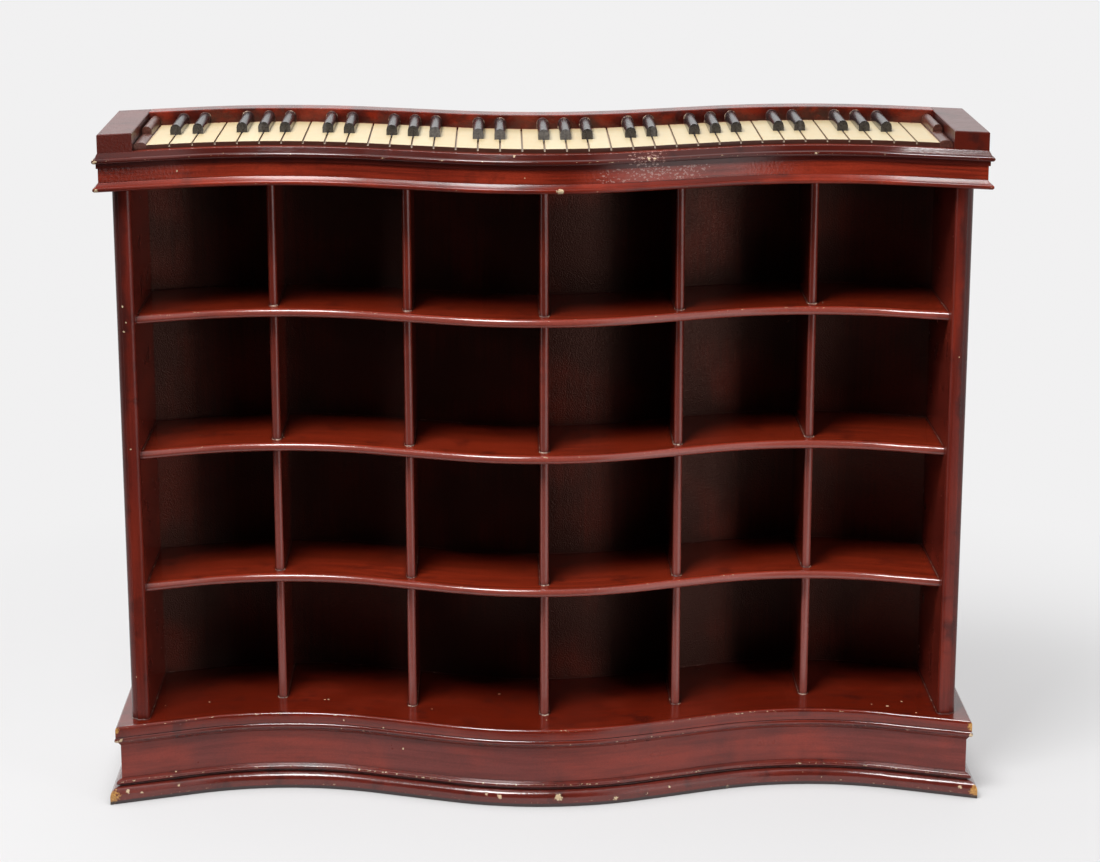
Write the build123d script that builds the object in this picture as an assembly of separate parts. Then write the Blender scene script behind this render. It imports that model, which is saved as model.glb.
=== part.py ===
from build123d import *
from math import atan2, copysign, cos, degrees, pi, sin, sqrt, tan
import os

# A low display shelf with 24 compartments under a dummy keyboard. Millimetres.
# X runs along the shelf, its front faces -Y and Z is up. The origin lies on the
# floor, under the middle of the whole shelf.

# The serpentine line, the same for the front and the rear: a bulge in the middle
# and a hollow on each side, all of one radius, joined by straight runs.
wave_pitch = 276.7  # from the middle of the bulge to the middle of a hollow
wave_swing = 57.0  # how far the hollows lie behind the bulge
straight_run = 85.4  # between the bulge and a hollow

# The carcass, measured at the faces of the plinth and the frieze.
face_width = 894.0
carcass_depth = 164.5  # from the face of the frieze to the rear, along Y
rows = 4
columns = 6
row_height = 135.1  # clear height of a compartment
cut_overrun = 40.0  # how far cutting shapes reach past what they cut
line_tolerance = 0.05  # for telling whether an edge lies on the serpentine line
bend_clearance = 0.15  # between bent faces that are glued or nailed together
flats_per_quarter = 3  # small round stretches are worked as narrow flats

# Plinth, with the base mould round its foot and a bead under the base board.
plinth_height = 71.4
plinth_thickness = 15.0
plinth_rear_inset = 12.0  # how far the rear board stands in from the rear
base_mould_height = 24.7
base_mould_projection = 11.0
base_bead_height = 6.7  # the small bead on top of the base mould
base_bead_projection = 5.0
base_bead_bevel = 1.4  # from the top of the small bead up to the face of the plinth
base_quirk_depth = 1.7  # groove between the base mould and its small bead
base_quirk_height = 1.4
base_round_radius = 7.5
plinth_bead_height = 10.4
plinth_bead_projection = 5.5
plinth_bead_radius = 3.0
glue_block_size = 24.0
glue_block_height = 45.0

# Base board.
base_board_thickness = 11.8
base_board_projection = 4.5
base_board_round = 3.4

# Side panels.
side_inset = 10.0  # from the face of the plinth in to the side panel
side_thickness = 19.0
side_front_inset = 13.0  # from the face of the frieze back to the side panel
side_bead_width = 6.5
side_bead_setback = 2.2
side_inner_round = 5.0
housing_depth = 5.0  # grooves in the side panels that hold the shelves
housing_setback = 16.0  # from a shelf's front back to its housed part

# Shelves, dividers and back panel.
shelf_thickness = 9.5
shelf_front_inset = 25.5
divider_thickness = 9.5
divider_front_inset = 38.9
back_rear_inset = 9.0  # how far the back stands in from the rear
back_thickness = 6.0
back_rebate = 6.0  # how far the back reaches into the side panels

# Top board, frieze and cornice.
top_board_thickness = 9.2
frieze_height = 29.9
frieze_thickness = 12.0
cornice_bead_projection = 5.2
cornice_bead_radius = 2.6
cornice_mould_height = 15.5
cornice_mould_projection = 5.2
cornice_nose_height = 5.4
cornice_nose_lift = 4.9
cornice_step = 1.5

# Keyboard.
key_bed_thickness = 10.0
end_block_width = 33.5
end_block_height = 18.7
block_arris = 0.8
rear_rail_thickness = 22.7
key_front_inset = 10.0  # from the face of the frieze back to the keys
key_strip_width = 12.5
natural_thickness = 4.3
naturals = 36
kerf_width = 1.8
kerf_depth = 2.6
sharp_width = 11.3
sharp_height = 11.0
sharp_setback = 58.0  # from the front of the naturals back to the sharps
strip_crown = 3.0  # how far the crowned front of the end strips stands up
end_round_width = 10.0
end_round_height = 10.4
octave = 7
naturals_before_sharps = (1, 2, 4, 5, 6)  # in each octave, counted from 1

# Derived places.
total_depth = base_mould_projection + carcass_depth + wave_swing
crest_y = base_mould_projection - total_depth / 2
run_slope = 2 * atan2(wave_swing, wave_pitch + straight_run)
bend_radius = (wave_pitch - straight_run * cos(run_slope)) / (2 * sin(run_slope))
face_x = face_width / 2
side_x = face_x - side_inset
inner_x = side_x - side_thickness
line_reach = face_x + cut_overrun
column_pitch = (2 * inner_x + divider_thickness) / columns
row_pitch = row_height + shelf_thickness
base_top = plinth_height + base_board_thickness
carcass_top = base_top + rows * row_pitch - shelf_thickness
frieze_low = carcass_top + top_board_thickness
deck_top = frieze_low + frieze_height
block_inner_x = face_x - end_block_width
naturals_x = block_inner_x - key_strip_width
key_pitch = 2 * naturals_x / naturals
rail_front_inset = carcass_depth - rear_rail_thickness
back_front_inset = carcass_depth - back_rear_inset - back_thickness
mitre_slope = (1 + sin(run_slope)) / cos(run_slope)


def line_depth(x, outset=0):
    """How far the serpentine line, set outwards by outset, lies behind its crest at x."""
    x = abs(x)
    bulge_radius = bend_radius + outset
    hollow_radius = bend_radius - outset
    bulge_end = bulge_radius * sin(run_slope)
    hollow_start = wave_pitch - hollow_radius * sin(run_slope)
    hollow_end = wave_pitch + hollow_radius * sin(run_slope)
    hollow_edge = wave_swing - bend_radius + hollow_radius * cos(run_slope)
    if x < bulge_end:
        return bend_radius - sqrt(bulge_radius**2 - x**2)
    if x < hollow_start:
        return hollow_edge - (hollow_start - x) * tan(run_slope)
    if x < hollow_end:
        return wave_swing - bend_radius + sqrt(hollow_radius**2 - (x - wave_pitch) ** 2)
    return hollow_edge - (x - hollow_end) * tan(run_slope)


def line_point(x, inset, outset=0):
    """A point of the serpentine line, inset along Y from the face of the frieze."""
    return Vector(x, crest_y + inset + line_depth(x, outset))


def serpentine(inset, outset=0):
    """The serpentine line from right to left, as lines and arcs."""
    bulge_end = (bend_radius + outset) * sin(run_slope)
    hollow_half = (bend_radius - outset) * sin(run_slope)
    hollow_start = wave_pitch - hollow_half
    hollow_end = wave_pitch + hollow_half
    stops = [line_reach, hollow_end, wave_pitch, hollow_start, bulge_end, 0]
    stops += [-x for x in reversed(stops[:-1])]
    points = [line_point(x, inset, outset) for x in stops]
    right_run = Line(points[0], points[1])
    right_hollow = ThreePointArc(points[1], points[2], points[3])
    right_slope = Line(points[3], points[4])
    bulge = ThreePointArc(points[4], points[5], points[6])
    left_slope = Line(points[6], points[7])
    left_hollow = ThreePointArc(points[7], points[8], points[9])
    left_run = Line(points[9], points[10])
    return [right_run, right_hollow, right_slope, bulge, left_slope, left_hollow, left_run]


def block(left, right, front, rear, low, high):
    """A plain box between six planes."""
    box = Box(right - left, rear - front, high - low)
    return Pos((left + right) / 2, (front + rear) / 2, (low + high) / 2) * box


def board(front_inset, rear_inset, left, right, low, high, outset=0):
    """A board whose front and rear follow the serpentine line."""
    front = serpentine(front_inset, outset)
    rear = serpentine(rear_inset)
    right_end = Line(front[0] @ 0, rear[0] @ 0)
    left_end = Line(front[-1] @ 1, rear[-1] @ 1)
    plan = make_face(front + rear + [right_end, left_end])
    layer = Pos(0, 0, low) * extrude(plan, amount=high - low, dir=(0, 0, 1))
    return layer & block(left, right, -total_depth, total_depth, low, high)


def front_edges(part, height, inset):
    """The edges of a board at one height that lie on its front line."""

    def on_front(edge):
        middle = edge @ 0.5
        place = line_point(middle.X, inset)
        level = abs(middle.Z - height) < line_tolerance
        return level and abs(middle.Y - place.Y) < line_tolerance

    return part.edges().filter_by(on_front)


def mitre_wedge(low, high):
    """All that lies in front of the mitres at the two front corners."""
    corner_y = line_point(face_x, 0).Y
    near_x = face_x + cut_overrun
    near_y = corner_y - cut_overrun * mitre_slope
    apex = (0, corner_y + face_x * mitre_slope)
    outline = Polyline((-near_x, near_y), apex, (near_x, near_y), close=True)
    return Pos(0, 0, low) * extrude(make_face(outline), amount=high - low, dir=(0, 0, 1))


def serpentine_run(profile, inset, low):
    """A profile carried along the serpentine line; its X points out, its Y up."""
    lengths = []
    for stretch in serpentine(inset):
        start = stretch @ 0
        along = stretch % 0
        across = Vector(-along.Y, along.X)
        section = Plane(origin=(start.X, start.Y, low), x_dir=across, z_dir=along) * profile
        if stretch.geom_type == GeomType.LINE:
            lengths.append(extrude(section, amount=stretch.length))
        else:
            turn = along.cross(stretch % 1).Z
            axis = Axis(stretch.arc_center, (0, 0, copysign(1, turn)))
            lengths.append(revolve(section, axis, degrees(stretch.length / stretch.radius)))
    return lengths[0].fuse(*lengths[1:])


def front_moulding(profile, inset, low, high):
    """A moulding along the front, mitred at both ends."""
    run = serpentine_run(profile, inset, low)
    return run & mitre_wedge(low - cut_overrun, high + cut_overrun)


def side_moulding(profile, low, high):
    """A moulding along the right side, from the rear to the mitre."""
    rear_y = total_depth / 2 + cut_overrun
    front_y = line_point(face_x, -cut_overrun).Y
    section = Plane(origin=(face_x, rear_y, low), x_dir=(1, 0, 0), z_dir=(0, -1, 0))
    run = extrude(section * profile, amount=rear_y - front_y)
    in_front_of_rear = board(-carcass_depth, carcass_depth, 0, line_reach, low, high)
    return (run & in_front_of_rear) - mitre_wedge(low - cut_overrun, high + cut_overrun)


def rounded(centre, radius, start, stop):
    """Points round an arc, from angle to angle in quarter turns, as narrow flats."""
    flats = round(abs(stop - start) * flats_per_quarter)
    turns = [start + (stop - start) * k / flats for k in range(flats + 1)]
    return [
        (centre[0] + radius * cos(turn * pi / 2), centre[1] + radius * sin(turn * pi / 2))
        for turn in turns
    ]


def closed_face(points):
    """The face inside a closed outline."""
    return make_face(Polyline(*points, close=True))


def base_mould_profile():
    """Big quarter round, quirk, and a small bead that meets the face of the plinth."""
    reach = base_mould_projection
    top = base_mould_height
    lower = top - base_bead_height - base_quirk_height
    land = reach - base_round_radius
    quirk = land - base_quirk_depth
    bead_low = lower + base_quirk_height
    bead_radius = (base_bead_height - base_bead_bevel) / 2
    bead_x = base_bead_projection - bead_radius
    outline = [(0, 0), (reach, 0)]
    outline += rounded((land, lower - base_round_radius), base_round_radius, 0, 1)
    outline += [(quirk, lower), (quirk, bead_low)]
    outline += rounded((bead_x, bead_low + bead_radius), bead_radius, -1, 1)
    outline += [(0, top)]
    return closed_face(outline)


def plinth_bead_profile():
    """A half round under the base board with a bevel below it."""
    radius = plinth_bead_radius
    neck = plinth_bead_projection - radius
    outline = [(0, 0)]
    outline += rounded((neck, plinth_bead_height - radius), radius, -1, 1)
    outline += [(0, plinth_bead_height)]
    return closed_face(outline)


def cornice_bead_profile():
    """A nose at the bottom that slopes up to the face of the frieze."""
    radius = cornice_bead_radius
    neck = cornice_bead_projection - radius
    outline = [(0, 0)]
    outline += rounded((neck, radius), radius, -1, 1)
    outline += [(0, top_board_thickness)]
    return closed_face(outline)


def cornice_mould_profile():
    """A step, a rounded nose and a slope up to the deck."""
    radius = cornice_nose_height / 2
    neck = cornice_mould_projection - radius
    outline = [(0, 0), (cornice_step, 0), (cornice_step, cornice_nose_lift)]
    outline += rounded((neck, cornice_nose_lift + radius), radius, -1, 1)
    outline += [(0, cornice_mould_height)]
    return closed_face(outline)


def base_edge_profile():
    """The edge of the base board, with a rounded upper arris."""
    reach = base_board_projection
    high = base_board_thickness
    radius = base_board_round
    outline = [(0, 0), (reach, 0)]
    outline += rounded((reach - radius, high - radius), radius, 0, 1)
    outline += [(0, high)]
    return closed_face(outline)


def shelf_nose_profile():
    """A half round nose as thick as the shelf."""
    radius = shelf_thickness / 2
    return closed_face(rounded((0, radius), radius, -1, 1))


def round_top_bar(width, height, front, rear, low):
    """A bar along Y with flat sides and a half round top, centred on X = 0."""
    half = width / 2
    outline = [(-half, 0), (half, 0)]
    outline += rounded((0, height - half), half, 0, 2)
    section = Plane(origin=(0, rear, low), x_dir=(1, 0, 0), z_dir=(0, -1, 0))
    return extrude(section * closed_face(outline), amount=rear - front)


def write(shape, node):
    """Write one piece to its own file."""
    export_step(shape, f"parts/{node}.step")


def write_pair(right_piece, node):
    """Write a piece of the right side and its mirror image."""
    write(right_piece, f"{node}_right")
    write(mirror(right_piece, about=Plane.YZ), f"{node}_left")


def make_moulding(profile, node, low, high):
    """Write the front run and the two returns of one moulding."""
    write(front_moulding(profile, -bend_clearance, low, high), f"{node}_front")
    write_pair(side_moulding(profile, low, high), node)


def make_plinth():
    """Plinth boards, glue blocks and the mouldings round the plinth."""
    top = plinth_height
    inner = face_x - plinth_thickness
    rear_face = carcass_depth - plinth_rear_inset
    rear_front = rear_face - plinth_thickness
    write(board(0, plinth_thickness, -face_x, face_x, 0, top), "plinth_front")
    write(board(rear_front, rear_face, -inner, inner, 0, top), "plinth_rear")
    write_pair(board(plinth_thickness, carcass_depth, inner, face_x, 0, top), "plinth")
    low = top - glue_block_height
    start = inner - glue_block_size
    front_block = board(
        plinth_thickness + bend_clearance, plinth_thickness + glue_block_size, start, inner, low, top
    )
    rear_block = board(rear_front - glue_block_size, rear_front - bend_clearance, start, inner, low, top)
    right_blocks = [front_block, rear_block]
    left_blocks = [mirror(piece, about=Plane.YZ) for piece in right_blocks]
    write(Compound(children=right_blocks + left_blocks), "glue_blocks")
    make_moulding(base_mould_profile(), "base_mould", 0, base_mould_height)
    bead_low = top - plinth_bead_height
    make_moulding(plinth_bead_profile(), "plinth_bead", bead_low, top)


def make_base_board():
    """The board that the side panels and the lowest dividers stand on."""
    edge = base_edge_profile()
    right_edge = side_moulding(edge, plinth_height, base_top)
    left_edge = mirror(right_edge, about=Plane.YZ)
    front_edge = front_moulding(edge, 0, plinth_height, base_top)
    middle = board(0, carcass_depth, -face_x, face_x, plinth_height, base_top)
    write(middle.fuse(front_edge, right_edge, left_edge), "base_board")


def make_side_panels():
    """Side panels with a beaded front, a rebate for the back and shelf housings."""
    front = line_point(side_x, side_front_inset).Y
    bead = side_bead_width
    step_x = side_x - bead
    bead_y = front + side_bead_setback + bead
    inner_round = side_inner_round
    outline = [(inner_x, total_depth)]
    outline += rounded((inner_x + inner_round, front + inner_round), inner_round, 2, 3)
    outline += [(step_x, front)]
    outline += rounded((step_x, bead_y), bead, 3, 4)
    outline += [(side_x, total_depth)]
    height = carcass_top - base_top
    panel = Pos(0, 0, base_top) * extrude(closed_face(outline), amount=height, dir=(0, 0, 1))
    panel &= board(-carcass_depth, carcass_depth, inner_x, side_x, base_top, carcass_top)
    rebate_x = inner_x + back_rebate
    panel -= board(back_front_inset, 2 * carcass_depth, 0, rebate_x, base_top, carcass_top)
    housing_front = line_point(inner_x, shelf_front_inset).Y + housing_setback
    housing_x = inner_x + housing_depth
    for row in range(1, rows):
        low = base_top + row * row_pitch - shelf_thickness
        panel -= block(0, housing_x, housing_front, total_depth, low, low + shelf_thickness)
    write_pair(panel, "side_panel")


def make_shelves():
    """Shelves with a rounded nose, whose ends are housed in the side panels."""
    rear = back_front_inset - bend_clearance
    nose_inset = shelf_front_inset + shelf_thickness / 2
    housing_front = line_point(inner_x, shelf_front_inset).Y + housing_setback
    housing_x = inner_x + housing_depth
    for row in range(1, rows):
        high = base_top + row * row_pitch
        low = high - shelf_thickness
        shelf = board(nose_inset, rear, -housing_x, housing_x, low, high)
        shelf += serpentine_run(shelf_nose_profile(), nose_inset, low)
        housed = block(-housing_x, housing_x, housing_front, total_depth, low, high)
        free = block(-inner_x, inner_x, -total_depth, housing_front, low, high)
        write(shelf & (housed + free), f"shelf_{row}")


def make_dividers():
    """Upright dividers between the shelves, numbered from the bottom and the left."""
    rear = back_front_inset - bend_clearance
    half = divider_thickness / 2
    for column in range(1, columns):
        x = (column - columns / 2) * column_pitch
        front = line_point(x, divider_front_inset).Y
        outline = [(x - half, total_depth)] + rounded((x, front + half), half, 2, 4)
        plan = closed_face(outline + [(x + half, total_depth)])
        for row in range(rows):
            low = base_top + row * row_pitch
            divider = Pos(0, 0, low) * extrude(plan, amount=row_height, dir=(0, 0, 1))
            divider &= board(-carcass_depth, rear, x - half, x + half, low, low + row_height)
            write(divider, f"divider_{row + 1}_{column}")


def make_back_panel():
    """The thin back, bent to the serpentine line and let into the side panels."""
    rear = back_front_inset + back_thickness
    half = inner_x + back_rebate
    write(board(back_front_inset, rear, -half, half, base_top, carcass_top), "back_panel")


def make_top():
    """Top board, the frieze box on it, the key bed and the two cornice mouldings."""
    write(board(0, carcass_depth, -face_x, face_x, carcass_top, frieze_low), "top_board")
    inner = face_x - frieze_thickness
    rear_front = carcass_depth - frieze_thickness
    write(board(0, frieze_thickness, -face_x, face_x, frieze_low, deck_top), "frieze_front")
    write(board(rear_front, carcass_depth, -inner, inner, frieze_low, deck_top), "frieze_rear")
    write_pair(board(frieze_thickness, carcass_depth, inner, face_x, frieze_low, deck_top), "frieze")
    bed_front = frieze_thickness + bend_clearance
    bed_rear = rear_front - bend_clearance
    bed_low = deck_top - key_bed_thickness
    write(board(bed_front, bed_rear, -inner, inner, bed_low, deck_top), "key_bed")
    make_moulding(cornice_bead_profile(), "cornice_bead", carcass_top, frieze_low)
    mould_low = deck_top - cornice_mould_height
    make_moulding(cornice_mould_profile(), "cornice_mould", mould_low, deck_top)


def make_key_frame():
    """End blocks and rear rail that frame the keys."""
    high = deck_top + end_block_height
    end_block = board(0, carcass_depth, block_inner_x, face_x, deck_top, high)
    top_edges = end_block.faces().sort_by(Axis.Z)[-1].edges()
    write_pair(chamfer(top_edges, block_arris), "end_block")
    rail = board(rail_front_inset, carcass_depth, -block_inner_x, block_inner_x, deck_top, high)
    write(chamfer(front_edges(rail, high, rail_front_inset), block_arris), "rear_rail")


def make_naturals():
    """The naturals: one strip whose keys are marked by kerfs in its upper face."""
    top = deck_top + natural_thickness
    rear = rail_front_inset - bend_clearance
    strip = board(key_front_inset, rear, -naturals_x, naturals_x, deck_top, top)
    kerf = Box(kerf_width, 2 * total_depth, 2 * kerf_depth)
    kerfs = [Pos(key_pitch * k - naturals_x, 0, top) * kerf for k in range(1, naturals)]
    write(strip - kerfs, "natural_keys")


def make_sharps():
    """The sharps, in groups of two and three, each astride a kerf."""
    low = deck_top + natural_thickness
    rear = rail_front_inset - bend_clearance
    sharps = []
    for k in range(1, naturals):
        if k % octave not in naturals_before_sharps:
            continue
        x = key_pitch * k - naturals_x
        front = line_point(x, key_front_inset + sharp_setback).Y
        bar = round_top_bar(sharp_width, sharp_height, front, total_depth, low)
        area = board(-carcass_depth, rear, x - sharp_width, x + sharp_width, low, low + sharp_height)
        sharps.append(Pos(x, 0, 0) * bar & area)
    write(Compound(children=sharps), "sharp_keys")


def make_key_ends():
    """The strip at each end of the keys and the round block on its rear part."""
    low = deck_top + natural_thickness
    rear = rail_front_inset - bend_clearance
    middle = naturals_x + key_strip_width / 2
    split = line_point(middle, key_front_inset + sharp_setback).Y
    strip = board(key_front_inset, rear, naturals_x, block_inner_x, deck_top, low)
    half = key_strip_width / 2
    crown_face = closed_face([(half * x, strip_crown * z) for x, z in rounded((0, 0), 1, 0, 2)])
    section = Plane(origin=(middle, split, low), x_dir=(1, 0, 0), z_dir=(0, -1, 0))
    crown = extrude(section * crown_face, amount=total_depth)
    crown &= board(key_front_inset, rear, naturals_x, block_inner_x, low, low + strip_crown)
    write_pair(strip + crown, "key_strip")
    bar = round_top_bar(end_round_width, end_round_height, split, total_depth, low)
    area = board(-carcass_depth, rear, naturals_x, block_inner_x, low, low + end_round_height)
    write_pair(Pos(middle, 0, 0) * bar & area, "key_round")


os.makedirs("parts", exist_ok=True)
make_plinth()
make_base_board()
make_side_panels()
make_shelves()
make_dividers()
make_back_panel()
make_top()
make_key_frame()
make_naturals()
make_sharps()
make_key_ends()
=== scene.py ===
"""Finish, wear, light and camera for the display shelf with the dummy keyboard."""

from math import atan2, cos, pi, radians, sin, sqrt, tan

import bmesh
import bpy
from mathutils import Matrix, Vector, noise


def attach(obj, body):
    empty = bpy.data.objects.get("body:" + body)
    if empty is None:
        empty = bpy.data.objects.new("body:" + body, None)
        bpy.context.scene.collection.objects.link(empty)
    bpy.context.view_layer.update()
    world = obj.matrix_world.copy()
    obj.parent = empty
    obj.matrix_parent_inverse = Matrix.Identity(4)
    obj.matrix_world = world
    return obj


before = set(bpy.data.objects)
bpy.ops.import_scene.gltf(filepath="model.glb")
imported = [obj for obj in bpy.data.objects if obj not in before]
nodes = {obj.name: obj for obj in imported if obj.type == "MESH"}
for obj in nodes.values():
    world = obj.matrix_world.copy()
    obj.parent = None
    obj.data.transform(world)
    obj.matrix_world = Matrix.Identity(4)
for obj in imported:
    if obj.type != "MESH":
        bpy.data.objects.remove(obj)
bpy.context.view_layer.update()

MM = 0.001

# The serpentine line and the places that the details are set against, in millimetres.
# What is named FRONT or INSET is a distance behind the line.
WAVE_PITCH = 276.7
WAVE_SWING = 57.0
STRAIGHT_RUN = 85.4
SLOPE = 2 * atan2(WAVE_SWING, WAVE_PITCH + STRAIGHT_RUN)
RADIUS = (WAVE_PITCH - STRAIGHT_RUN * cos(SLOPE)) / (2 * sin(SLOPE))
BULGE_END = RADIUS * sin(SLOPE)  # X where the first straight run starts
ARC_DEPTH = WAVE_SWING - RADIUS + RADIUS * cos(SLOPE)  # depth where an arc of the hollow ends
CREST_Y = -105.25
COLUMNS = 6
ROWS = 4
COLUMN_PITCH = 140.9167
ROW_PITCH = 144.6
BASE_TOP = 83.2
INNER_X = 418.0
SIDE_X = 437.0
FRONT_SIDE = 13.0
FRONT_DIVIDER = 38.9
HALF_DIVIDER = 4.75
BACK_INSET = 149.5
NATURAL_TOP = 695.5
NATURALS_X = 401.0
NATURALS = 36
KEY_PITCH = 2 * NATURALS_X / NATURALS
KERF_TOP = NATURAL_TOP - 0.35  # below this only kerfs and fronts are left
RAIL_INSET = 141.8
KEY_INSET = 10.0
KEY_FRONT = KEY_INSET + 1.2
KERF_END = KEY_INSET + 1.7
SHARP_INSET = 68.0
SHARP_HALF = 5.65
SHARP_HEIGHT = 11.0


def depth(x):
    """How far the serpentine line lies behind its crest at x."""
    x = abs(x)
    off = abs(x - WAVE_PITCH)
    if x < BULGE_END:
        return RADIUS - sqrt(RADIUS**2 - x**2)
    if off < BULGE_END:
        return WAVE_SWING - RADIUS + sqrt(RADIUS**2 - off**2)
    return ARC_DEPTH - (off - BULGE_END) * tan(SLOPE)


def line_y(x, inset):
    """Y of the serpentine line, set back by inset."""
    return CREST_Y + inset + depth(x)


def add_object(name, data):
    """A new object in the scene."""
    made = bpy.data.objects.new(name, data)
    bpy.context.scene.collection.objects.link(made)
    return made


def add_mesh(name, bm, finish):
    """A new object of a bmesh, which is freed, with one material."""
    mesh = bpy.data.meshes.new(name)
    bm.to_mesh(mesh)
    bm.free()
    mesh.materials.append(finish)
    return add_object(name, mesh)


# Node trees.

OPEN_TO_SHUT = (0.86, 0.42)  # ambient occlusion of an open face and of a corner
COAT_ROUGHNESS = 0.09


class Graph:
    """Builds the node tree of one material or world."""

    def __init__(self, tree):
        self.tree = tree
        tree.nodes.clear()

    def add(self, kind, *values, **settings):
        """A new node with its settings, and the values joined to its first sockets."""
        node = self.tree.nodes.new("ShaderNode" + kind)
        for name, value in settings.items():
            setattr(node, name, value)
        for value, socket in zip(values, node.inputs):
            self.join(value, socket)
        return node

    def join(self, value, socket):
        if isinstance(value, bpy.types.NodeSocket):
            self.tree.links.new(value, socket)
        else:
            socket.default_value = value

    def math(self, operation, *values):
        return self.add("Math", *values, operation=operation).outputs[0]

    def vector(self, operation, *values):
        node = self.add("VectorMath", *values, operation=operation)
        return node.outputs["Value" if operation in ("LENGTH", "DISTANCE") else "Vector"]

    def mix(self, factor, first, second):
        """A mix of two colours, whose sockets come after those for numbers and vectors."""
        node = self.add("Mix", factor, data_type="RGBA")
        self.join(first, node.inputs[6])
        self.join(second, node.inputs[7])
        return node.outputs[2]

    def choose(self, factor, first, second):
        """A mix of two numbers."""
        node = self.add("Mix", factor, data_type="FLOAT")
        self.join(first, node.inputs[2])
        self.join(second, node.inputs[3])
        return node.outputs[0]

    def ramp(self, value, low, high, start=0.0, stop=1.0):
        """A smooth step from start, where the value is low, to stop, where it is high."""
        given = (value, low, high, start, stop)
        return self.add("MapRange", *given, interpolation_type="SMOOTHSTEP").outputs[0]

    def noise(self, place, scale, detail, roughness=0.5):
        """Noise; the scale is per millimetre, one number or one for each axis."""
        if isinstance(scale, tuple):
            place = self.vector("MULTIPLY", place, scale)
            scale = 1.0
        node = self.add("TexNoise", place)
        node.inputs["Scale"].default_value = scale
        node.inputs["Detail"].default_value = detail
        node.inputs["Roughness"].default_value = roughness
        return node.outputs[0]

    def place(self):
        """Object coordinates in millimetres."""
        coordinates = self.add("TexCoord").outputs["Object"]
        return self.vector("MULTIPLY", coordinates, (1000.0, 1000.0, 1000.0))

    def split(self, vector):
        return self.add("SeparateXYZ", vector).outputs

    def join_axes(self, x, y, z):
        return self.add("CombineXYZ", x, y, z).outputs[0]

    def facing(self, normal="True Normal"):
        """The surface normal, split; "Normal" is the one that the shading smooths."""
        return self.split(self.add("NewGeometry").outputs[normal])

    def rays(self):
        """Whether a ray comes from the camera, and whether it is a reflection."""
        path = self.add("LightPath").outputs
        mirrored = self.math("MAXIMUM", path["Is Glossy Ray"], path["Is Transmission Ray"])
        return path["Is Camera Ray"], mirrored

    def specks(self, place, cell, share, size):
        """Small round flecks of up to size in a share of the cells, in millimetres."""
        node = self.add("TexVoronoi", place)
        node.inputs["Scale"].default_value = 1 / cell
        pick = self.split(node.outputs["Color"])
        chosen = self.math("GREATER_THAN", self.math("ADD", pick[0], share), 1.0)
        reach = self.math("MULTIPLY", self.math("POWER", pick[1], 3.0), size / cell)
        near = self.math("LESS_THAN", node.outputs["Distance"], reach)
        return self.math("MULTIPLY", chosen, near)

    def spots(self, place, listed):
        """Ragged patches round listed points; each is (x, y, z, radius)."""
        ragged = self.noise(place, 0.45, 3.0, 0.7)
        total = None
        for x, y, z, radius in listed:
            away = self.vector("DISTANCE", place, (x, y, z))
            limit = self.math("MULTIPLY_ADD", ragged, 2.4 * radius, -0.45 * radius)
            inside = self.math("LESS_THAN", away, limit)
            total = inside if total is None else self.math("MAXIMUM", total, inside)
        return total

    def inset(self, place):
        """How far a point lies behind the front line, worked out from its X and Y."""
        x, y, _ = self.split(place)
        reach = self.math("ABSOLUTE", x)
        bulge = self.math("MULTIPLY", reach, reach)
        bulge = self.math("SQRT", self.math("SUBTRACT", RADIUS**2, bulge))
        bulge = self.math("SUBTRACT", RADIUS, bulge)
        off = self.math("ABSOLUTE", self.math("SUBTRACT", reach, WAVE_PITCH))
        hollow = self.math("MULTIPLY", off, off)
        hollow = self.math("SQRT", self.math("SUBTRACT", RADIUS**2, hollow))
        hollow = self.math("ADD", hollow, WAVE_SWING - RADIUS)
        run = self.math("SUBTRACT", off, BULGE_END)
        run = self.math("MULTIPLY_ADD", run, -tan(SLOPE), ARC_DEPTH)
        line = self.choose(self.math("LESS_THAN", off, BULGE_END), run, hollow)
        line = self.choose(self.math("LESS_THAN", reach, BULGE_END), line, bulge)
        return self.math("SUBTRACT", self.math("SUBTRACT", y, CREST_Y), line)

    def shut(self, reach):
        """One in the corners and grooves, nought in the open; reach in millimetres."""
        corner = self.add("AmbientOcclusion", samples=6)
        corner.inputs["Distance"].default_value = reach * MM
        return self.ramp(corner.outputs["AO"], *OPEN_TO_SHUT)

    def surface(self, color, roughness, height, specular, bump, coat=0.0, tint=None):
        """A principled surface whose bump height is in millimetres."""
        shader = self.add("BsdfPrincipled")
        self.join(color, shader.inputs["Base Color"])
        self.join(roughness, shader.inputs["Roughness"])
        shader.inputs["Specular IOR Level"].default_value = specular
        if tint:
            shader.inputs["Specular Tint"].default_value = tint
        shader.inputs["Coat Weight"].default_value = coat
        shader.inputs["Coat Roughness"].default_value = COAT_ROUGHNESS
        relief = self.add("Bump")
        relief.inputs["Strength"].default_value = bump
        relief.inputs["Distance"].default_value = MM
        self.join(height, relief.inputs["Height"])
        self.join(relief.outputs[0], shader.inputs["Normal"])
        if coat:
            self.join(relief.outputs[0], shader.inputs["Coat Normal"])
        self.add("OutputMaterial", shader.outputs[0])


def material(name):
    """A new material and the graph of its nodes."""
    made = bpy.data.materials.new(name)
    made.use_nodes = True
    return made, Graph(made.node_tree)


# Materials.

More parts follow.
